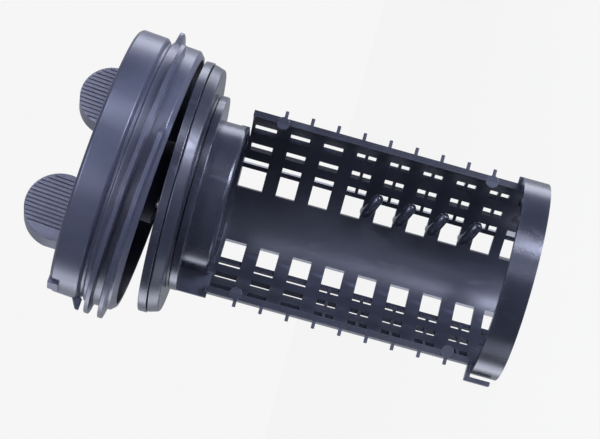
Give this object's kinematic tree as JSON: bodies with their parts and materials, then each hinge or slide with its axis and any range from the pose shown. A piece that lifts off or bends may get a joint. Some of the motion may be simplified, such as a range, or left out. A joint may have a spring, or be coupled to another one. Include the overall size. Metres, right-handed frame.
{
  "type": "washing machine drain pump filter",
  "caption": "Screw-in drain pump filter: a cap with a two-eared ribbed handle turns on a strainer trough with square windows, lint fingers, a rubber seal and an open end ring.",
  "frame": {"origin": "centre of the end ring's open face, on the filter axis", "axes": "+Z along the filter axis from the end ring to the cap, -Y out of the open side of the trough"},
  "size_m": [0.0725, 0.0724, 0.1216],
  "materials": {
    "body_plastic": "satin moulded dark blue-grey",
    "seal_rubber": "smooth moulded",
    "cap_plastic": "satin moulded dark blue-grey"
  },
  "bodies": {
    "strainer": {"filter_body": "body_plastic", "seal_ring": "seal_rubber"},
    "cap": {"cap_knob": "cap_plastic"}
  },
  "joints": [
    {"name": "cap_turn", "type": "hinge", "parent": "strainer", "child": "cap", "pos_m": [0, 0, 0.0915], "axis": [0.0663, -0.0261, 0.9975], "continuous": true}
  ]
}
